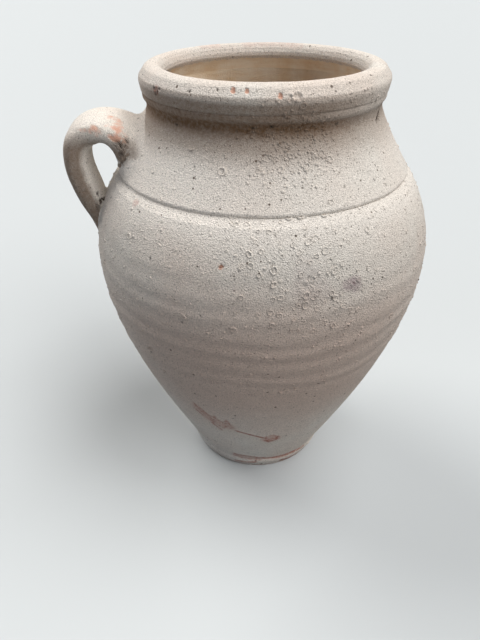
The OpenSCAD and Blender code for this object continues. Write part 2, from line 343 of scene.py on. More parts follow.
# What lies on the wash: red clay scuffed onto it, mauve damp marks, brown grime with painted shade, and
# dark marks
# The brown grime also stands for painted shade: under the rim, on the strap's near side and under its upper
# end, and inside the mouth
for label, shade, ragged in (("scuff", "#B97F70", 3.2), ("stain", "#9F8C8F", 2.0),
                             ("grime", "#72573F", 0.5), ("dark", "#4F443B", 2.4)):
    uneven = put(tree, "ShaderNodeMath", {0: frayed, 1: ragged, 2: 1.0}, operation="MULTIPLY_ADD")[0]
    spread = put(tree, "ShaderNodeMath", {
        0: uneven, 1: share[label]}, operation="MULTIPLY", use_clamp=True)[0]
    colour = put(tree, "ShaderNodeMix", {
        0: spread, UNDER: colour, OVER: linear(shade)}, data_type="RGBA")[MIXED]

# Heights of the fine relief, in mm: sand, raised grains, pits and lines left by the brush. The wash is
# smooth near the foot, and brushed flatter on the shoulder. Each kind of grain has a spacing in mm, a share
# of places without one, and a height in mm.
grain_kinds = ((2.0, 0.3, 0.65), (4.5, 0.6, 0.8))
grain_reach = 0.9
gritty = put(tree, "ShaderNodeMapRange", {
    "Value": height, "From Min": 60 * mm, "From Max": 200 * mm, "To Min": 0.6, "To Max": 1.5})[0]
brushed = put(tree, "ShaderNodeMapRange", {
    "Value": height, "From Min": 290 * mm, "From Max": 345 * mm, "To Min": 1.0, "To Max": 0.6})[0]
gritty = put(tree, "ShaderNodeMath", {0: gritty, 1: brushed}, operation="MULTIPLY")[0]
sand = clouds["sand"]
for spacing, without, tall in grain_kinds:
    grain_cells = put(tree, "ShaderNodeTexVoronoi", {"Vector": place, "Scale": 1 / (spacing * mm)})
    grain_chance = put(tree, "ShaderNodeSeparateXYZ", {0: grain_cells["Color"]})[0]
    grain_r = put(tree, "ShaderNodeMapRange", {
        "Value": grain_chance, "From Min": without, "To Min": 0.03, "To Max": grain_reach / spacing})[0]
    grain = put(tree, "ShaderNodeMath", {0: grain_cells["Distance"], 1: grain_r}, operation="DIVIDE")[0]
    grain = put(tree, "ShaderNodeMapRange", {
        "Value": grain, "To Min": tall, "To Max": 0}, interpolation_type="SMOOTHSTEP")[0]
    sand = put(tree, "ShaderNodeMath", {0: sand, 1: grain}, operation="ADD")[0]
relief = put(tree, "ShaderNodeMath", {0: sand, 1: gritty}, operation="MULTIPLY")[0]
for part, amount in ((pits, -0.6), (streak, 0.2), (worn, -0.3)):
    relief = put(tree, "ShaderNodeMath", {0: part, 1: amount, 2: relief}, operation="MULTIPLY_ADD")[0]
gritty_skin = put(tree, "ShaderNodeBump", {"Height": relief, "Distance": mm, "Strength": 1.0})[0]
shader = tree.nodes["Principled BSDF"]
shader.inputs["Roughness"].default_value = 0.92
shader.inputs["Specular IOR Level"].default_value = 0.3
tree.links.new(colour, shader.inputs["Base Color"])
tree.links.new(gritty_skin, shader.inputs["Normal"])


def finish_piece(piece, *nodes):
    """Rides a limewashed piece on the jar in place of its solid."""
    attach(piece, "root")
    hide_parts(*nodes)


def smooth_step(low, high, values):
    """0 at low, 1 at high and eased between them; low may be the larger."""
    share = np.clip((np.asarray(values) - low) / (high - low), 0, 1)
    return share * share * (3 - 2 * share)


class Skin:
    """The points of a piece while marks are pressed into it and paint is worn off it, in mm and degrees."""

    def __init__(self, piece):
        self.mesh = piece.data
        count = len(self.mesh.vertices)
        flat = np.empty(3 * count, np.float32)
        self.mesh.vertices.foreach_get("co", flat)
        self.points = flat.reshape(-1, 3) / mm
        self.mesh.attributes["push"].data.foreach_get("vector", flat)
        self.push = flat.reshape(-1, 3).astype(float)
        self.turn = np.degrees(np.arctan2(self.points[:, 1], self.points[:, 0])) % 360
        self.radius = np.hypot(self.points[:, 0], self.points[:, 1])
        self.height = self.points[:, 2].astype(float)
        outward = (self.push[:, :2] * self.points[:, :2]).sum(1) / np.maximum(self.radius, 1)
        self.outside = outward + 2 * self.push[:, 2] > 0
        self.marks = {}

    def turned_from(self, turn):
        """Degrees round the jar from a turn to every point, from -180 to 180."""
        return (self.turn - turn + 180) % 360 - 180

    def unrolled(self, turn, height):
        """Distances round the jar and up it from a place to every point."""
        return np.radians(self.turned_from(turn)) * self.radius, self.height - height

    def spot(self, turn, height):
        """The point of the outer skin that is nearest to a turn and a height."""
        round_way, up = self.unrolled(turn, height)
        away = round_way ** 2 + up ** 2 - self.radius / 20
        return self.points[np.argmin(np.where(self.outside, away, np.inf))]

    def nearest(self, place):
        """The point that is nearest to a place."""
        return self.points[np.argmin(np.linalg.norm(self.points - np.asarray(place), axis=1))]

    def paint(self, label, amount):
        """Gives each point a share of a kind of paint or wear, where it has less of it."""
        self.marks[label] = np.maximum(self.marks.get(label, 0), amount)

    def press(self, middle, across, depth, lip=0.0, phase=0.0, **marks):
        """A dent with an uneven edge and a raised lip, and the marks that it leaves."""
        away = self.points - np.asarray(middle)
        bearing = np.arctan2(away[:, 2], away[:, 0] + 0.6 * away[:, 1])
        edge = 1 + 0.2 * np.sin(2 * bearing + phase) + 0.13 * np.sin(3 * bearing + 2.3 * phase)
        # 1 at the dent's edge, which is steep: it is at its full depth within about half of that
        distance = np.linalg.norm(away, axis=1) / (across / 2 * edge)
        dent = smooth_step(1.05, 0.45, distance)
        raised = smooth_step(0.5, 0, np.abs(distance - 1.15))
        self.points -= self.push * (depth * dent - lip * raised)[:, None]
        for label, most in marks.items():
            self.paint(label, most * smooth_step(1.25, 0.6, distance))

    def rub(self, route, width, **marks):
        """Marks along a route of turns and heights."""
        nearest = np.full(len(self.turn), np.inf)
        for (turn_a, height_a), (turn_b, height_b) in zip(route, route[1:]):
            round_way, up = self.unrolled(turn_a, height_a)
            step = np.array([np.radians(turn_b - turn_a), 0.0]) * self.radius[:, None]
            step[:, 1] = height_b - height_a
            along = (round_way * step[:, 0] + up * step[:, 1]) / (step ** 2).sum(1)
            along = np.clip(along, 0, 1)
            nearest = np.minimum(nearest, np.hypot(round_way - along * step[:, 0], up - along * step[:, 1]))
        amount = smooth_step(width / 2, 0, nearest) * self.outside
        for label, most in marks.items():
            self.paint(label, most * amount)

    def store(self):
        """Gives the mesh its pressed points, and each kind of mark as an attribute."""
        self.mesh.vertices.foreach_set("co", (self.points * mm).astype(np.float32).ravel())
        for label, values in self.marks.items():
            values = values.astype(np.float32)
            self.mesh.attributes.new(label, "FLOAT", "POINT").data.foreach_set("value", values)
        self.mesh.update()


_, foot_high = reach("foot_ring")
foot_h = foot_high.z
flare_r = foot_high.x
foot_flare = 5
flush_in = 0.8
edge_r = 1.5
edge_cut = 0.4
flare_edge = (1.3, 3)
foot_step = 0.9
standing_step = 4
joint_step = 6
foot_r = flare_r - foot_flare
flush_r = flare_r - flush_in
foot_outline = np.vstack([
    even([(slab_r, 0), (foot_r - edge_r, 0)], standing_step),
    even([(foot_r - edge_r, 0), (foot_r - edge_cut, edge_cut), (foot_r, edge_r)], foot_step)[1:],
    even([(foot_r, edge_r), (flare_r - flare_edge[0], foot_h - flare_edge[1]), (flush_r, foot_h)],
         foot_step)[1:]])
foot_up = foot_outline[:, 1]
foot_rows = stretch(foot_outline, smooth_step(0.5, 5, foot_up), wash=smooth_step(-0.5, 2.5, foot_up))
foot_joint = stretch(even([(flush_r, foot_h), (slab_r, foot_h)], joint_step)[1:], 0, wash=0)
foot_ring = turned("foot_ring_turned", [foot_rows, foot_joint], limewash, thrown)
foot_skin = Skin(foot_ring)
foot_skin.rub([(246, 7), (254, 8), (263, 10)], 8, scuff=0.7)
foot_skin.rub([(286, 6), (296, 3), (303, 4)], 8, scuff=0.9, dark=0.25)
foot_skin.rub([(turn, 0.8) for turn in (0, 120, 240, 360)], 4, scuff=0.7, dark=0.15)
foot_skin.press(foot_skin.spot(268, 2.5), 3.4, 1.6, bare=0.6, dark=0.6, phase=1)
foot_skin.press(foot_skin.spot(316, 11), 5, -0.7, phase=2)
foot_skin.press(foot_skin.spot(131, 9.5), 6, 1.4, bare=0.9, phase=4)
foot_skin.store()
finish_piece(foot_ring, "foot_ring")

# Lower body
# The tapered lower wall, thrown upside down on its own, trimmed when leather hard and luted to the
# slab. Its wash is brushed smooth near the foot and grows gritty upwards; drags have scuffed it.
wall = 11.5
lap_h = 6
outer_row = 1.5
inner_row = 11
inner_push = -0.6
shell_r = flare_r - 0.5
shell_z = foot_h + 4
joint_ease = (0.1, 1.5)
body_seam_z = reach("belly")[0].z
belly_r = 158
belly_z = 256
groove_z = reach("shoulder")[0].z
groove_r = 131
neck_r = 100.5
neck_z = 388
neck_run_on = 30
cone_slope = 0.45
cone_run = 60
belly_ease = (74, 34)
shoulder_slope = -0.74
shoulder_ease = (18.5, 14)
neck_ease = 6
curve_points = 240


def bezier(*ends):
    """A curve through its first and last point, drawn towards the two between."""
    t = np.linspace(0, 1, curve_points)[:, None]
    a, b, c, d = (np.array(end, float) for end in ends)
    return (1 - t) ** 3 * a + 3 * (1 - t) ** 2 * t * b + 3 * (1 - t) * t ** 2 * c + t ** 3 * d


body = np.vstack([
    bezier((shell_r, shell_z), (shell_r + cone_slope * cone_run, shell_z + cone_run),
           (belly_r, belly_z - belly_ease[0]), (belly_r, belly_z)),
    bezier((belly_r, belly_z), (belly_r, belly_z + belly_ease[1]),
           (groove_r - shoulder_slope * shoulder_ease[0], groove_z - shoulder_ease[0]),
           (groove_r, groove_z))[1:],
    bezier((groove_r, groove_z),
           (groove_r + shoulder_slope * shoulder_ease[1], groove_z + shoulder_ease[1]),
           (neck_r, neck_z - neck_ease), (neck_r, neck_z))[1:],
    [(neck_r, neck_z + neck_run_on)]])
lean_in = np.gradient(body[:, 0], body[:, 1])
inwards = np.column_stack([-np.ones_like(lean_in), lean_in])
inner_body = body + wall / np.hypot(1, lean_in)[:, None] * inwards


def body_r(z):
    """The body's radius at a height."""
    return np.interp(z, body[:, 1], body[:, 0])


def between(line, low, high, step):
    """The part of a rising line between two heights."""
    ends = [(np.interp(z, line[:, 1], line[:, 0]), z) for z in (low, high)]
    held = line[(line[:, 1] > low + 0.01) & (line[:, 1] < high - 0.01)]
    return even(np.vstack([ends[:1], held, ends[1:]]), step)


def inner_wall(low, high):
    """Rows down the inside of the wall, where the fingers left it plain."""
    return stretch(between(inner_body, low, high, inner_row)[::-1], inner_push, wash=0)


lower_outside = np.vstack([
    even([(flush_r, foot_h), (flush_r - joint_ease[0], foot_h + joint_ease[1]), (shell_r, shell_z)],
         foot_step)[:-1],
    between(body, shell_z, body_seam_z, outer_row)])
cove_z = foot_h + 16
cove_bend = (2.5, 8)
cove_toe = 4
cove_step = 4
cove_r = np.interp(cove_z, inner_body[:, 1], inner_body[:, 0])
cove = even([(cove_r, cove_z), (cove_r - cove_bend[0], cove_z - cove_bend[1]),
             (slab_r + cove_toe, foot_h + cove_toe), (slab_r, foot_h)], cove_step)
lower_body = turned("thrown_lower_body", [
    stretch(lower_outside, 1), inner_wall(cove_z, body_seam_z + lap_h),
    stretch(cove[1:], np.linspace(inner_push, 0, len(cove) - 1), wash=0, corners=(False, True))],
    limewash, thrown)
lower_skin = Skin(lower_body)

# The pink of the clay shows through the wash low on the front, between these heights
thin_turn = 266
thin_from = (60, 170)
thin_to = (315, 215)


def thin_wash(piece_skin):
    """Share of the wall that shows the clay's pink through the wash: low on the front."""
    front = smooth_step(70, 12, np.abs(piece_skin.turned_from(thin_turn)))
    high = smooth_step(*thin_to, piece_skin.height) * smooth_step(*thin_from, piece_skin.height)
    return high * (0.45 + 0.5 * front)


# Drag marks: a hatch of scratches, one long scratch to a round end, and rubbing along the foot. Each is a
# route of turns and heights, with a width, a share of red scuff and a share of dark dirt.
drag_hatch = (
    [(235, 136.5), (239.4, 122.5), (242.3, 109)], [(235.6, 132), (238, 117.5)],
    [(233.6, 124.5), (236.8, 114.5)], [(240.2, 121), (246.7, 111.5), (250, 101)],
    [(240.1, 112), (244.5, 100.5)], [(240.4, 103.5), (244.3, 91.5)],
    [(243.6, 121), (240.7, 101.5), (244, 93)], [(248, 115), (249, 105.5), (245.7, 97.5)],
    [(249, 118), (251, 102)])
drag_end = [(267.5, 79), (268.5, 85), (271.5, 88), (274.5, 84), (274, 76), (270.5, 71.5), (268, 75)]
for route, width, scuff, dark in (
        *((scratch, 5.4, 0.6, 0.15) for scratch in drag_hatch),
        ([(240, 113), (245, 106), (249, 105)], 24, 0.45, 0),
        ([(235.5, 131), (239, 118)], 15, 0.45, 0),
        ([(252.5, 97), (258, 92.5), (263, 87.5), (268, 82)], 4.8, 1.0, 0.25),
        (drag_end, 8, 0.6, 0),
        (drag_end[3:], 5, 1.0, 0.25),
        ([(269, 76), (271, 75)], 12, 0.8, 0.1),
        ([(269, 80), (273, 80)], 20, 0.7, 0),
        ([(246, 24), (258, 23.5), (271, 18), (283, 17.3), (297, 15), (308, 14)], 7.5, 0.8, 0.1),
        ([(278, 17), (298, 16)], 11, 0.8, 0),
        ([(246, 19), (266, 16)], 11, 0.55, 0),
        ([(60, 62), (84, 40), (96, 36)], 7, 0.7, 0),
        ([(118, 96), (131, 90)], 5, 0.7, 0),
        ([(330, 17), (360, 16)], 4, 0.5, 0)):
    lower_skin.rub(route, width, scuff=scuff, dark=dark)
lower_skin.paint("thin", thin_wash(lower_skin))
lower_skin.store()
finish_piece(lower_body, "lower_body")

# Belly
# The widest section, thrown as a ring and joined over the lower wall. The fingers left soft rings round
# it, and the wash on it is sandy, thick up to the groove, and burst by lime on one side.
groove_depth = 2.4
groove_lip = 6
groove_edge = 2.2
lip_step = 0.9
groove_point = (groove_r - groove_depth, groove_z)
lip_z = groove_z - groove_lip
belly_wall = between(body, body_seam_z, lip_z, outer_row)
belly_rows = stretch(np.vstack([belly_wall, even([(body_r(lip_z), lip_z), groove_point], lip_step)[1:]]), 1)
belly_rows[len(belly_wall) - 1, -1] = 1
belly = turned("thrown_belly", [
    belly_rows, inner_wall(body_seam_z + lap_h, groove_z + lap_h)], limewash, thrown)
belly_skin = Skin(belly)

# The second coat lies thick round the groove, most on the lip under it and on the left shoulder
thick_turn = 205
thick_to = (392, 352)


def thick_wash(piece_skin):
    """Share of the wall where the second coat lies thick."""
    up = piece_skin.height
    left = smooth_step(62, 25, np.abs(piece_skin.turned_from(thick_turn)))
    left = left * smooth_step(groove_z - 15, groove_z + 15, up)
    lip = smooth_step(groove_z - 22, groove_z - 6, up) * (up < groove_z)
    high = smooth_step(groove_z - 40, groove_z - 8, up) * smooth_step(*thick_to, up)
    return high * (0.45 + 0.4 * left + 0.4 * lip)


# Lime crowds on one side of the jar
lime_turn = 275
lime_elsewhere = 0.03


def crowded(piece_skin, low, high):
    """How thick lime lies: thick on one side from a height upwards, and here and there elsewhere."""
    side = smooth_step(25, 7, np.abs(piece_skin.turned_from(lime_turn)))
    return (lime_elsewhere + side * smooth_step(low, high, piece_skin.height)) * piece_skin.outside


# A chip, two damp stains, a scuff, burst blisters and pits
belly_skin.press(belly_skin.spot(251.4, 303), 3.6, 1.2, bare=0.95, dark=0.35, phase=1)
belly_skin.press(belly_skin.spot(289.9, 286), 15, 0.15, stain=0.6, phase=2)
belly_skin.press(belly_skin.spot(277, 292), 34, 0.0, stain=0.14, phase=4)
belly_skin.press(belly_skin.spot(213.8, 328), 9, 0.1, scuff=0.3, phase=3)
for turn, up, across in ((275.2, 289.7, 6.2), (276.3, 295.4, 5), (266, 306, 5), (284.1, 300.6, 5)):
    belly_skin.press(belly_skin.spot(turn, up), across, 0.7, lip=0.5, phase=turn)
for turn, up in ((267.1, 324.6), (276, 323.2), (246, 262), (240, 252), (228, 297), (30, 300), (120, 240)):
    belly_skin.press(belly_skin.spot(turn, up), 2.0, 1.2, dark=0.7, phase=turn)
belly_skin.paint("thin", thin_wash(belly_skin))
belly_skin.paint("thick", thick_wash(belly_skin))
belly_skin.paint("lime", crowded(belly_skin, 225, 285))
belly_skin.paint("grit", (0.2 + 0.8 * smooth_step(165, 215, belly_skin.height)) * belly_skin.outside)
belly_skin.store()
finish_piece(belly, "belly")

# Shoulder
# The sloping section above the groove. A pointed stick cut the groove while the jar turned, and left
# a sharp upper edge over an eased lower lip.
neck_seam_z = reach("neck_collar")[0].z
cut_step = 0.6
shoulder_row = 1.2
cut_toe = (0.6, 0.2)
cut_z = groove_z + groove_edge
shoulder_outside = np.vstack([
    even([groove_point, (groove_point[0] + cut_toe[0], groove_z + cut_toe[1]), (body_r(cut_z), cut_z)],
         cut_step)[:-1],
    between(body, cut_z, neck_seam_z, shoulder_row)])
shoulder = turned("thrown_shoulder", [
    stretch(shoulder_outside, 1), inner_wall(groove_z + lap_h, neck_seam_z + lap_h)], limewash, thrown)
shoulder_skin = Skin(shoulder)
shoulder_skin.press(shoulder_skin.spot(262.9, 373.8), 3.2, 1.2, bare=0.6, dark=0.6, phase=1)
for turn, up in ((262, 369), (258.2, 360.9), (236, 361.7), (277, 352.4), (293.7, 349.7), (292.5, 359.2),
                 (210, 350), (75, 356), (150, 348)):
    shoulder_skin.press(shoulder_skin.spot(turn, up), 1.9, 1.0, dark=0.6, phase=turn)

# Grime and painted shade lie on the slope under the rim, and more in the shelter of the band; painted shade
# darkens the bare clay inside
grime_turn = 235
grime_slope = (358, 385)
grime_shelter = (379, 390)
inside_shade_turn = 82


def facing(piece_skin, turn):
    """1 where the jar faces a turn, 0 a quarter round from it and -1 at its back."""
    return np.cos(np.radians(piece_skin.turn - turn))


def sheltered(piece_skin):
    """How much grime and painted shade lie under the rim: most on the front and left, least on the right.
    """
    front = 0.62 + 0.38 * smooth_step(0.1, 0.75, facing(piece_skin, grime_turn))
    slope = 0.62 * smooth_step(*grime_slope, piece_skin.height)
    return front * (slope + 0.33 * smooth_step(*grime_shelter, piece_skin.height))


def painted_inside_shade(piece_skin):
    """How much painted shade darkens the bare clay inside: most at the back."""
    return 0.3 * smooth_step(0.6, 1, facing(piece_skin, inside_shade_turn)) * ~piece_skin.outside


shoulder_skin.paint("grime", sheltered(shoulder_skin) * shoulder_skin.outside + painted_inside_shade(shoulder_skin))
shoulder_skin.paint("thick", thick_wash(shoulder_skin))
for cover in ("lime", "grit"):
    shoulder_skin.paint(cover, crowded(shoulder_skin, 343, 374))
shoulder_skin.store()
finish_piece(shoulder, "shoulder")

# Neck collar
# A short upright neck with a narrow band left standing under the roll. Grime and painted shade lie in the
# shelter of the rim, and a drying crack runs down one side.
rim_low, rim_high = reach("rim_roll")
jar_h = rim_high.z
rim_seam_z = jar_h - 20
collar_out = 2.9
collar_z = rim_seam_z - 6
crease = 0.2
band_z = neck_z + 2
neck_row = 1.1
band_step = 0.9
neck_inner_row = 4
seam_out = (neck_r + collar_out - crease, rim_seam_z)
seam_in = (neck_r - wall, rim_low.z)
band = [(neck_r, band_z), (neck_r + 0.5, collar_z - 1.6), (neck_r + 1.7, collar_z + 0.2),
        (neck_r + 2.6, collar_z + 1.6), (neck_r + collar_out, collar_z + 3.4),
        (neck_r + collar_out, rim_seam_z - crease), seam_out]
neck_outside = np.vstack([between(body, neck_seam_z, band_z, neck_row)[:-1], even(band, band_step)])
neck_inside = np.vstack([
    [seam_in], between(inner_body, neck_seam_z + lap_h, neck_z, neck_inner_row)[::-1]])
neck_collar = turned("neck_with_band", [
    stretch(neck_outside, 1), stretch(neck_inside, inner_push, wash=0)], limewash, thrown)
neck_skin = Skin(neck_collar)
# The band itself gets less of the grime and painted shade, least of all on the right
band_less_grime_and_shade = 0.15 + 0.4 * smooth_step(265, 315, neck_skin.turn)
band_less_grime_and_shade = 1 - band_less_grime_and_shade * smooth_step(collar_z - 1.5, collar_z + 1, neck_skin.height)
neck_skin.paint("grime", band_less_grime_and_shade * sheltered(neck_skin) * neck_skin.outside + painted_inside_shade(neck_skin))
for turn, up, across in (
        (327.5, 394.3, 4.6), (330.5, 394.6, 5), (333, 394.8, 4.6), (295.2, 389.9, 2.6), (265.9, 391.5, 2.2),
        (258.7, 390.7, 2.0), (222.2, 385.8, 2.4), (40, 392, 3), (100, 388, 2.4)):
    neck_skin.press(neck_skin.spot(turn, up), across, 1.2, dark=1.0, phase=turn)
crack_turn, crack_z = 324, 383.2
for k in range(6):
    neck_skin.press(neck_skin.spot(crack_turn + 1.1 * k, crack_z + 1.15 * k), 3.2, 1.2, dark=1.0, phase=k)
neck_skin.paint("grit", 0.7 * crowded(neck_skin, 370, 380))
neck_skin.store()
finish_piece(neck_collar, "neck_collar")

# Rolled rim
# The edge of the neck folded outwards into a round roll, smoothed with a wet cloth that left a fine
# line round it. The wash covers the roll and stops just inside the mouth, where the clay is bare.
roll_r = 12.5
roll_mid = (rim_high.x - roll_r, jar_h - roll_r)
mouth_r = 84
throat_z = 405
lip_drop = 10
cloth_ridge = 0.03
cloth_from, cloth_to = 112, 170
cloth_waves = 16
wash_edge_z = jar_h - 13
wiped = (20, 54)
arc_step = 2
under_step, face_step, mouth_step, throat_step = 0.7, 0.9, 1.0, 1.5


def on_arc(middle, half_w, half_h, degrees):
    """The point of an oval round a middle at an angle above level."""
    angle = math.radians(degrees)
    return middle[0] + half_w * math.cos(angle), middle[1] + half_h * math.sin(angle)


roll_under = [seam_out, (neck_r + collar_out + 0.7, rim_seam_z + 0.9),
              (roll_mid[0] + 11.6, rim_seam_z + 3.4), (roll_mid[0] + 12.15, roll_mid[1] - 0.9),
              (roll_mid[0] + 12.0, roll_mid[1] - 0.1)]
roll_face = [on_arc(roll_mid, roll_r, roll_r, a)
             for a in (*range(4, wiped[0] + 1, arc_step), *range(wiped[1], 91, arc_step))]
roll_lip = []
for a in range(90, 181, arc_step):
    wave = max(0, math.sin(math.radians(cloth_waves * (a - cloth_from))))
    ridge = 1 + cloth_ridge * wave * (cloth_from < a < cloth_to)
    roll_lip.append(on_arc((roll_mid[0], jar_h - lip_drop), ridge * (roll_mid[0] - mouth_r),
                           ridge * lip_drop, a))
throat = [(mouth_r, jar_h - lip_drop), (mouth_r + 0.8, jar_h - lip_drop - 1.4), (mouth_r + 2.6, throat_z),
          seam_in]
rim_line = np.vstack([even(roll_under, under_step)[:-1], even(roll_face, face_step),
                      even(roll_lip, mouth_step)[1:], even(throat, throat_step)[1:]])
rim_away = rim_line - np.array(roll_mid)
rim_away[:, 1] = np.maximum(rim_away[:, 1], 0)
rim_away /= np.linalg.norm(rim_away, axis=1)[:, None]
throat_side = rim_line[:, 0] < roll_mid[0]
rim_wash = np.where(throat_side, smooth_step(wash_edge_z - 2.5, wash_edge_z + 3.5, rim_line[:, 1]), 1)
rim_roll = turned("rolled_rim", [
    stretch(rim_line, rim_away[:, 0], up=rim_away[:, 1], wash=rim_wash)], limewash, thrown)
rim_skin = Skin(rim_roll)

# The cloth wiped the roll's face clean down to a line. Below it the roll's underside is darkened with grime
# and painted shade, most on the front.
rim_grime_turn = 250
wiped_z = roll_mid[1] + roll_r * math.sin(math.radians(wiped[0]))
under_roll_grime_and_shade = 0.34 * smooth_step(wiped_z + 0.5, wiped_z - 0.8, rim_skin.height)
under_roll_grime_and_shade += 0.3 * smooth_step(wiped_z - 3, wiped_z - 6, rim_skin.height)
rim_front = smooth_step(0.35, 0.85, facing(rim_skin, rim_grime_turn))
rim_skin.paint("grime", under_roll_grime_and_shade * (0.25 + 0.8 * rim_front) * rim_skin.outside)

# Chips, a scuffed knock with pits in it, two burst blisters, pits and rubbing on the far top
for turn, up, across in ((250.4, 415.8, 4.4), (255.9, 415.6, 4), (269.2, 413.5, 4.4)):
    rim_skin.press(rim_skin.spot(turn, up), across, 1.2, bare=0.8, dark=0.1, phase=turn)
rim_skin.press(rim_skin.spot(212.5, 408.5), 8, 0.7, scuff=0.6, phase=2)
for turn, up, across in ((210.6, 410.3, 2.6), (213.6, 408, 3), (212, 406.4, 2.4), (215, 410.4, 2.2)):
    rim_skin.press(rim_skin.spot(turn, up), across, 1.2, dark=0.7, phase=turn)
rim_skin.press(rim_skin.spot(275.3, 412.3), 6.4, 1.3, lip=0.6, phase=2)
rim_skin.press(rim_skin.spot(272.5, 411.5), 4.4, 0.9, lip=0.5, phase=5)
for turn, up in (
        (315.6, 419.2), (243.9, 415.7), (231.8, 412.7), (300, 417), (312, 408), (20, 418), (95, 416)):
    rim_skin.press(rim_skin.spot(turn, up), 2.0, 1.2, dark=1.0, phase=turn)
rim_skin.rub([(60, 419), (75, 420), (95, 420)], 10, scuff=0.22)
rim_skin.rub([(112, 420), (124, 420)], 8, scuff=0.25)
rim_lime_turn = 290
rim_grit = smooth_step(38, 22, np.abs(rim_skin.turned_from(rim_lime_turn))) * rim_skin.outside
for cover in ("lime", "grit"):
    rim_skin.paint(cover, 0.4 * rim_grit * smooth_step(416, 411, rim_skin.height))
rim_skin.store()
finish_piece(rim_roll, "rim_roll")

# Lime lumps and rings
# Bits of quicklime in the wash that swelled while it dried. They stand on the coat as small lumps, or as
# thin raised rings where they burst, and crowd on one side of the jar.
sown_sizes = {
    "Gap": "NodeSocketFloat", "Most": "NodeSocketFloat", "Smallest": "NodeSocketFloat",
    "Largest": "NodeSocketFloat", "Seed": "NodeSocketInt", "Finish": "NodeSocketMaterial"}
ring_lip_r = 0.3
lump_flat = (1, 1, 0.6)
lime_least, lime_most = (0.8, 0.8, 0.7), (1.3, 1.1, 1.2)
lime_tilt = 0.13
lime_rings, ring_input = grow_tree("lime_rings", sown_sizes)
ring_line = put(lime_rings, "GeometryNodeCurvePrimitiveCircle", {"Resolution": 12, "Radius": 1.0})["Curve"]
ring_lip = put(lime_rings, "GeometryNodeCurvePrimitiveCircle", {
    "Resolution": 5, "Radius": ring_lip_r})["Curve"]
ring_shape = put(lime_rings, "GeometryNodeCurveToMesh", {
    "Curve": ring_line, "Profile Curve": ring_lip})["Mesh"]
lime_lumps, lump_input = grow_tree("lime_lumps", sown_sizes)
lump_ball = put(lime_lumps, "GeometryNodeMeshUVSphere", {"Segments": 8, "Rings": 5, "Radius": 1.0})["Mesh"]
lump_shape = put(lime_lumps, "GeometryNodeTransform", {
    "Geometry": lump_ball, "Scale": lump_flat})["Geometry"]
for sower, given, shape, cover in ((lime_rings, ring_input, ring_shape, "lime"),
                                   (lime_lumps, lump_input, lump_shape, "grit")):
    lime = put(sower, "GeometryNodeInputNamedAttribute", {"Name": cover}, data_type="FLOAT")[0]
    spots = put(sower, "GeometryNodeDistributePointsOnFaces", {
        "Mesh": given["Geometry"], "Distance Min": given["Gap"], "Density Max": given["Most"],
        "Density Factor": lime, "Seed": given["Seed"]}, distribute_method="POISSON")
    size = put(sower, "FunctionNodeRandomValue", {
        2: given["Smallest"], 3: given["Largest"], "Seed": given["Seed"]}, data_type="FLOAT")[1]
    uneven = put(sower, "FunctionNodeRandomValue", {
        0: lime_least, 1: lime_most, "Seed": given["Seed"]}, data_type="FLOAT_VECTOR")[0]
    scale = put(sower, "ShaderNodeVectorMath", {0: uneven, "Scale": size}, operation="SCALE")[0]
    tilt = put(sower, "FunctionNodeRandomValue", {
        0: (-lime_tilt, -lime_tilt, 0), 1: (lime_tilt, lime_tilt, math.tau), "Seed": given["Seed"]},
        data_type="FLOAT_VECTOR")[0]
    tilt = put(sower, "FunctionNodeEulerToRotation", {0: tilt})[0]
    stance = put(sower, "FunctionNodeRotateRotation", {
        "Rotation": spots["Rotation"], "Rotate By": tilt}, rotation_space="LOCAL")[0]
    sown = put(sower, "GeometryNodeInstanceOnPoints", {
        "Points": spots["Points"], "Instance": shape, "Rotation": stance, "Scale": scale})[0]
    realized = put(sower, "GeometryNodeRealizeInstances", {"Geometry": sown})[0]
    washed = put(sower, "GeometryNodeStoreNamedAttribute", {
        "Geometry": realized, "Name": "wash", "Value": 1.0}, data_type="FLOAT")["Geometry"]
    smooth = put(sower, "GeometryNodeSetShadeSmooth", {0: washed, "Shade Smooth": True}, domain="FACE")[0]
    finished = put(sower, "GeometryNodeSetMaterial", {"Geometry": smooth, "Material": given["Finish"]})[0]
    put(sower, "NodeGroupOutput", {"Geometry": finished})

# The most rings and the most lumps to a square metre of each section
lime_on = (
    (belly, 14000, 11000), (shoulder, 14000, 170000), (neck_collar, 0, 150000), (rim_roll, 4000, 120000))
ring_sizes = {"Gap": 5.5 * mm, "Smallest": 1.3 * mm, "Largest": 2.6 * mm, "Seed": 4}
lump_sizes = {"Gap": 1.5 * mm, "Smallest": 0.4 * mm, "Largest": 1.4 * mm, "Seed": 9}
for section, most_rings, most_lumps in lime_on:
    for sower, most, sizes in ((lime_rings, most_rings, ring_sizes), (lime_lumps, most_lumps, lump_sizes)):
        if not most:
            continue
        lime_piece = bpy.data.objects.new(sower.name + "_on_" + section.name, section.data.copy())
        bpy.context.scene.collection.objects.link(lime_piece)
        shaped_by(lime_piece, sower, {**sizes, "Most": float(most), "Finish": limewash})
        settle(lime_piece)
        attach(lime_piece, "root")

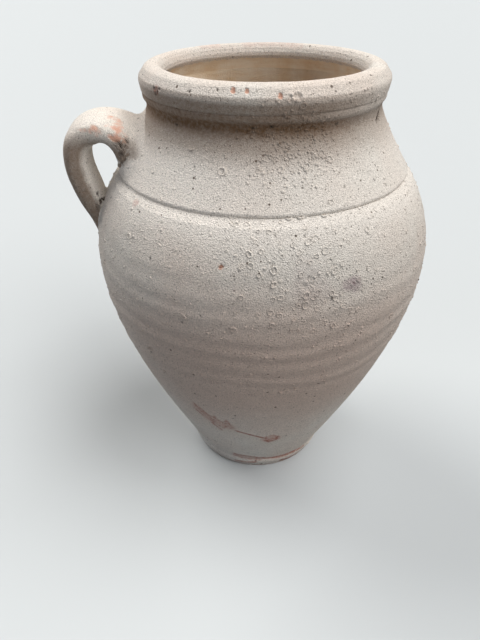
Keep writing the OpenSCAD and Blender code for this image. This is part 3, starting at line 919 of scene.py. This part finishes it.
# Handle strap
# A strap pulled from a lump of wet clay, bent into an ear and pressed on at the shoulder and at the
# belly. It is limewashed with the jar, and hands have worn the wash off its upper edges.
handle_w = 45
handle_t = 23
handle_reach = 166
handle_mid_z = 344.5
root_z = (357, 292)
root_angle = (math.radians(45), math.radians(72))
root_run = (35, 23)
strap_bend = (26.5, 14)
outer_share = 0.47
outer_square = 0.7
inner_square = 0.8
width_flare = 0.75
width_span = 0.85
outer_flare = 0.5
lower_flare = -0.18
flare_span = 0.5
under_shares = ((-0.15, 1.7), (0.24, 0.76), (0.5, 1.04), (0.8, 1.05))
top_tilt = 0.05
root_bury = 12
under_skin = 4
strap_from, strap_to, strap_steps = -1.5, 4.2, 1200
strap_rings = 180
strap_sides = 128
section_steps = 4000
roots = [np.array((body_r(z), z)) for z in root_z]
root_ways = [np.array((math.cos(a), math.sin(a))) for a in root_angle]
root_pulls = [root + run * way for root, run, way in zip(roots, root_run, root_ways)]
strap_out = np.array((handle_reach, handle_mid_z))
upper_half = bezier(roots[0], root_pulls[0], strap_out + (0, strap_bend[0]), strap_out)
lower_half = bezier(strap_out, strap_out - (0, strap_bend[1]), root_pulls[1], roots[1])
middle_line = np.vstack([upper_half, lower_half[1:]])
middle_t = np.linspace(0, 2, len(middle_line))


def strap_middle(t):
    """Middle of the strap: 0 at the shoulder, 1 where it stands out most, 2 at the belly."""
    t = np.asarray(t, float)
    line = np.column_stack([np.interp(t, middle_t, middle_line[:, k]) for k in (0, 1)])
    line += np.minimum(t, 0)[:, None] * root_bury * root_ways[0]
    return line - np.maximum(t - 2, 0)[:, None] * root_bury * root_ways[1]


def squared(angle):
    """Sine and cosine of an angle, drawn out towards a box: more on the strap's outer side."""
    square = np.where(np.sin(angle) > 0, outer_square, inner_square)
    return (np.sign(f) * np.abs(f) ** square for f in (np.sin(angle), np.cos(angle)))


def section_angles(sides):
    """Angles that spread points evenly round the strap's section."""
    angle = np.linspace(0, math.tau, section_steps + 1)
    up, along = squared(angle)
    run = np.hypot(np.diff(handle_t / 2 * up), np.diff(handle_w / 2 * along))
    run = np.concatenate([[0], np.cumsum(run)])
    return np.interp(np.arange(sides) * run[-1] / sides, run, angle)


def strap_section(t, sides):
    """Points round the strap at each t, and the way out of the strap at each of them."""
    t = np.asarray(t, float)
    line = strap_middle(t)
    ahead = strap_middle(t + 0.01) - strap_middle(t - 0.01)
    ahead /= np.linalg.norm(ahead, axis=1)[:, None]
    near_top, near_foot = (np.maximum(0, 1 - np.maximum(run, 0) / flare_span) ** 2 for run in (t, 2 - t))
    broad_top = np.maximum(0, 1 - np.maximum(t, 0) / width_span) ** 2
    under = under_shares[0][1]
    for (t_a, share_a), (t_b, share_b) in zip(under_shares, under_shares[1:]):
        under = under + (share_b - share_a) * smooth_step(t_a, t_b, t)
    wider, outer_t, inner_t = (
        (share + lower_flare * near_foot)[:, None]
        for share in (1 + width_flare * broad_top, 1 + outer_flare * near_top, under))
    angle = section_angles(sides)
    soft_sin, soft_cos = squared(angle)
    thick = handle_t * np.where(soft_sin > 0, outer_share * outer_t, (1 - outer_share) * inner_t) * soft_sin
    broad = handle_w / 2 * wider * soft_cos
    side = np.column_stack([-ahead[:, 1], ahead[:, 0]])
    tilted = thick + top_tilt * smooth_step(1, 0.4, t)[:, None] * broad
    flat = line[:, None] + side[:, None] * tilted[:, :, None]
    points = np.dstack([-flat[:, :, 0], broad, flat[:, :, 1]])
    way = np.dstack([-side[:, None, 0] * np.sin(angle), np.broadcast_to(np.cos(angle), thick.shape),
                     side[:, None, 1] * np.sin(angle)])
    return points, way


def tube(name, rings, ways, finish, sizes):
    """A closed piece skinned over a stack of rings, with a cap at each end."""
    count, sides = rings.shape[:2]
    ends = [rings[0].mean(0), rings[-1].mean(0)]
    points = np.vstack([rings.reshape(-1, 3), ends]) * mm
    last = (count - 1) * sides
    pairs = [(j, (j + 1) % sides) for j in range(sides)]
    faces = [(row + j, row + k, row + sides + k, row + sides + j)
             for row in range(0, last, sides) for j, k in pairs]
    faces += [(count * sides, k, j) for j, k in pairs]
    faces += [(count * sides + 1, last + j, last + k) for j, k in pairs]
    mesh = bpy.data.meshes.new(name)
    mesh.from_pydata(points.tolist(), [], faces)
    mesh.shade_smooth()
    push = np.vstack([ways.reshape(-1, 3), np.zeros((2, 3))]).astype(np.float32)
    mesh.attributes.new("push", "FLOAT_VECTOR", "POINT").data.foreach_set("vector", push.ravel())
    wash = mesh.attributes.new("wash", "FLOAT", "POINT")
    wash.data.foreach_set("value", np.ones(len(points), np.float32))
    piece = bpy.data.objects.new(name, mesh)
    bpy.context.scene.collection.objects.link(piece)
    shaped_by(piece, worked_skin, {**sizes, "Finish": finish})
    settle(piece)
    return piece


def wall_gap(points):
    """How far points stand off the body, measured out from the axis."""
    return np.hypot(points[..., 0], points[..., 1]) - body_r(points[..., 2])


def strap_lines():
    """Rings of the strap whose ends both follow the wall, a little under its skin."""
    points, ways = strap_section(np.linspace(strap_from, strap_to, strap_steps), strap_sides)
    clear = wall_gap(points) > -under_skin
    first = np.argmax(clear, axis=0)
    last = len(points) - 1 - np.argmax(clear[::-1], axis=0)
    rows = np.linspace(first, last, strap_rings).round().astype(int)
    sides = np.arange(strap_sides)
    return points[rows, sides], ways[rows, sides]


pulled = {**thrown, "Ring depth": 0.0, "Wobble": 0.7 * mm, "Lump height": 0.45 * mm}
strap_points, strap_ways = strap_lines()
handle_strap = tube("pulled_handle", strap_points[:, ::-1], strap_ways[:, ::-1], limewash, pulled)
strap_skin = Skin(handle_strap)

# Patches where hands have worn the wash: a place, a width and a share of bare clay
for middle, across, bare in (
        ((-155.2, -24.4, 372.5), 8, 0.6), ((-145.6, -27, 374), 10, 0.66), ((-140.5, -28.6, 372.8), 9, 0.62),
        ((-128.6, -11.9, 377.9), 14, 0.5), ((-123.5, -23.8, 376), 15, 0.52),
        ((-124, -32.5, 372.8), 11, 0.62), ((-123.5, -34, 369), 13, 0.74), ((-128.7, -32.8, 367.3), 8, 0.6),
        ((-150, 20, 374), 16, 0.5), ((-130, 26, 371), 16, 0.55), ((-176, 8, 350), 12, 0.45)):
    strap_skin.press(strap_skin.nearest(middle), across, 0.35, bare=bare, phase=middle[0])

# Painted shade, with some grime, on the near side; the thick coat's whiter colour on top and on the side
# that faces the jar, as painted light; and a ragged dark line where those two sides meet
strap_x, strap_y, strap_z = strap_skin.push.T
near_side = smooth_step(0.1, 0.9, -strap_y) * smooth_step(0.5, 0.2, strap_x)
# Painted shade on the near side, with some grime
strap_skin.paint("grime", 0.74 * near_side * smooth_step(372, 355, strap_skin.height))
# Painted light: the whiter thick-coat colour on the side that faces the jar and on the top
strap_skin.paint("thick", smooth_step(0.35, 0.7, strap_x))
strap_skin.paint("thick", 0.35 * smooth_step(0.2, 0.7, strap_z))
seam_x, seam_w = 0.38, 0.12
dark_seam_line = np.exp(-((strap_x - seam_x) / seam_w) ** 2) * (strap_y < 0)
dark_seam_line *= 0.6 + 0.25 * np.sin(strap_skin.height / 2.3) + 0.15 * np.sin(strap_skin.height / 0.9)
strap_skin.paint("grime", 0.6 * dark_seam_line * smooth_step(362, 345, strap_skin.height))


def left_ragged(piece_skin):
    """Bits of clay and dents on a piece at the strap's lower end, darkened with dirt and painted shade."""
    for middle, across, depth, dark in (
            ((-150.7, -16.4, 314.3), 4.5, 1.6, 0.7), ((-152, -17.5, 310), 4.5, -1.6, 0.0),
            ((-148.5, -16.3, 311.3), 4, -1.6, 0.0), ((-146.5, -14.3, 308.6), 4.5, 1.4, 0.9),
            ((-149.1, -17.1, 306.9), 5, 1.4, 0.9), ((-151.1, -19.5, 303.2), 4.5, -1.2, 0.5)):
        piece_skin.press(middle, across, depth, dark=dark, phase=middle[2])


under_root = np.array((-121, -37, 357))
clods = 30
clod_w = 3.2
clod_h = 0.6
clod_gap = 2.2
clod_turn = 2.4


def left_rough(piece_skin):
    """Clods and dark marks on a piece under the strap's upper end, set out in a spiral, over a patch of
    grime and painted shade.
    """
    # A broad patch of grime and painted shade under the strap's upper end
    piece_skin.press(under_root, 26, 0.3, grime=0.55, phase=1)
    for k in range(clods):
        turn, away = clod_turn * k, clod_gap * math.sqrt(k)
        clod = under_root + away * np.array((0.75 * math.cos(turn), 0.5 * math.cos(turn), math.sin(turn)))
        # Every other clod is a dent, darkened with dirt and painted shade
        dark_in_dents = 0.8 * (k % 2 == 0)
        piece_skin.press(piece_skin.nearest(clod), clod_w, clod_h * (-1) ** k, dark=dark_in_dents, phase=k)


left_ragged(strap_skin)
left_rough(strap_skin)
strap_skin.store()
finish_piece(handle_strap, "handle_strap")

# Luting pads
# Soft clay smeared round each end of the strap, which sticks it to the wall. It is drawn out over the
# wall in a hollow curve with the thumb, and is rougher under the upper end where no tool reaches.
fillet_rows = 16
pad_sides = 128
pad_from, pad_to, pad_steps = -1.6, 1.0, 521
pad_bury = 3
toe_bury = 2
top_sink, toe_sink = 0.4, 0.3
corner_fill = 0.25


def luting_pad(name, root_t, way, under, over, lowest, highest):
    """A ring of clay that fills the corner between the strap and the wall, wider over the strap."""
    t = root_t + way * np.linspace(pad_from, pad_to, pad_steps)
    spread = under + (over - under) * (1 + np.sin(section_angles(pad_sides))) / 2
    points, ways = strap_section(t, pad_sides)
    gap = wall_gap(points)
    sides = np.arange(pad_sides)
    foot = points[np.argmax(gap > 0, axis=0), sides]
    run = np.linalg.norm(points - foot[None], axis=2) * np.sign(gap)
    top_row = np.argmax(run > spread, axis=0)
    off_strap = ways[top_row, sides]
    top = points[top_row, sides] - top_sink * off_strap
    radial = foot * (1, 1, 0) / np.hypot(foot[:, 0], foot[:, 1])[:, None]
    away = foot - foot.mean(0)
    away -= (away * radial).sum(1)[:, None] * radial
    away /= np.linalg.norm(away, axis=1)[:, None]
    toe = foot + spread[:, None] * away
    toe[:, 2] = np.clip(toe[:, 2], lowest, highest)
    on_wall = body_r(toe[:, 2]) / np.hypot(toe[:, 0], toe[:, 1])
    toe *= np.column_stack([on_wall, on_wall, np.ones(pad_sides)])
    toe -= toe_sink * radial
    corner = foot + corner_fill * away
    rows, pushes = [top - pad_bury * off_strap], [np.zeros_like(top)]
    for s in np.arange(fillet_rows) / (fillet_rows - 1):
        rows.append((1 - s) ** 2 * top + 2 * (1 - s) * s * corner + s ** 2 * toe)
        pushes.append((1 - s) * off_strap + s * radial)
    rows.append(toe - pad_bury * radial - toe_bury * away)
    pushes.append(np.zeros_like(top))
    order = slice(None, None, -1) if way > 0 else slice(None)
    return tube(name, np.array(rows)[:, order], np.array(pushes)[:, order], limewash, pulled)


upper_pad = luting_pad(
    "upper_luting_pad", root_t=0, way=1, under=18, over=15, lowest=groove_z + 1, highest=neck_z)
upper_pad_skin = Skin(upper_pad)
left_rough(upper_pad_skin)
upper_pad_skin.paint("thick", thick_wash(upper_pad_skin))
upper_pad_skin.store()
finish_piece(upper_pad, "upper_luting")
lower_pad = luting_pad(
    "lower_luting_pad", root_t=2, way=-1, under=5, over=3, lowest=0, highest=groove_z - 2 * groove_lip)
lower_pad_skin = Skin(lower_pad)
left_ragged(lower_pad_skin)
lower_pad_skin.store()
finish_piece(lower_pad, "lower_luting")

# Studio
# A pale painted floor under four wide soft lamps: a skylight, a window in front, one behind, and a weak
# cool light from a door on the left. The camera looks down at the jar from close by.
scene = bpy.context.scene
floor_half = 14
floor_mesh = bpy.data.meshes.new("studio_floor")
floor_mesh.from_pydata([(-floor_half, -floor_half, 0), (floor_half, -floor_half, 0),
                        (floor_half, floor_half, 0), (-floor_half, floor_half, 0)], [], [(0, 1, 2, 3)])
studio_floor = bpy.data.objects.new("studio_floor", floor_mesh)
scene.collection.objects.link(studio_floor)


def seen(tree):
    """1 for rays that show the background, 0 for those that only light the jar."""
    path = put(tree, "ShaderNodeLightPath", {})
    shown = put(tree, "ShaderNodeMath", {
        0: path["Is Camera Ray"], 1: path["Is Glossy Ray"]}, operation="MAXIMUM")[0]
    return put(tree, "ShaderNodeMath", {
        0: shown, 1: path["Is Transmission Ray"]}, operation="MAXIMUM")[0]


# Matt floor paint: it looks pale, and throws less light back onto the jar than so pale a floor would
floor_paint = bpy.data.materials.new("painted_floor")
floor_paint.use_nodes = True
floor_tree = floor_paint.node_tree
floor_colour = put(floor_tree, "ShaderNodeMix", {
    0: seen(floor_tree), UNDER: linear("#72777A"), OVER: linear("#C4C8CA")}, data_type="RGBA")[MIXED]
floor_shader = floor_tree.nodes["Principled BSDF"]
floor_shader.inputs["Roughness"].default_value = 0.8
floor_tree.links.new(floor_colour, floor_shader.inputs["Base Color"])
floor_mesh.materials.append(floor_paint)

# The air is pale where it is seen and throws no light on the jar
world = bpy.data.worlds.new("studio_air")
world.use_nodes = True
scene.world = world
air = world.node_tree
air_strength = put(air, "ShaderNodeMath", {0: seen(air), 1: 0.8}, operation="MULTIPLY")[0]
air.nodes["Background"].inputs["Color"].default_value = linear("#E4E8EA")
air.links.new(air_strength, air.nodes["Background"].inputs["Strength"])

# Each lamp's turn round the jar and elevation in degrees, its strength and its colour
lamp_spread = 40
for name, turn, elevation, strength, shade in (
        ("skylight", 0, 67, 1.93, "#FFFEFC"), ("front_window", 313, 45, 1.56, "#FFFEFC"),
        ("back_window", 137, 45, 1.94, "#FFFDF9"), ("left_door", 212, 15, 0.42, "#E4ECFA")):
    lamp = bpy.data.lights.new(name, "SUN")
    lamp.angle = math.radians(lamp_spread)
    lamp.energy = strength
    lamp.color = linear(shade)[:3]
    holder = bpy.data.objects.new(name, lamp)
    scene.collection.objects.link(holder)
    holder.rotation_euler = (math.radians(90 - elevation), 0, math.radians(turn + 90))

camera_turn = math.radians(262.5)
camera_out = 0.4936
camera_up = 0.4977
camera_pitch = math.radians(34.8)
camera_heading = math.radians(5.13)
long_side_px = 640
focal_px = 539
camera = bpy.data.cameras.new("standing_view")
camera.sensor_width = 36
camera.lens = camera.sensor_width * focal_px / long_side_px
viewer = bpy.data.objects.new("standing_view", camera)
scene.collection.objects.link(viewer)
viewer.location = (camera_out * math.cos(camera_turn), camera_out * math.sin(camera_turn), camera_up)
viewer.rotation_euler = (math.pi / 2 - camera_pitch, 0, -camera_heading)
scene.camera = viewer
scene.view_settings.view_transform = "Standard"
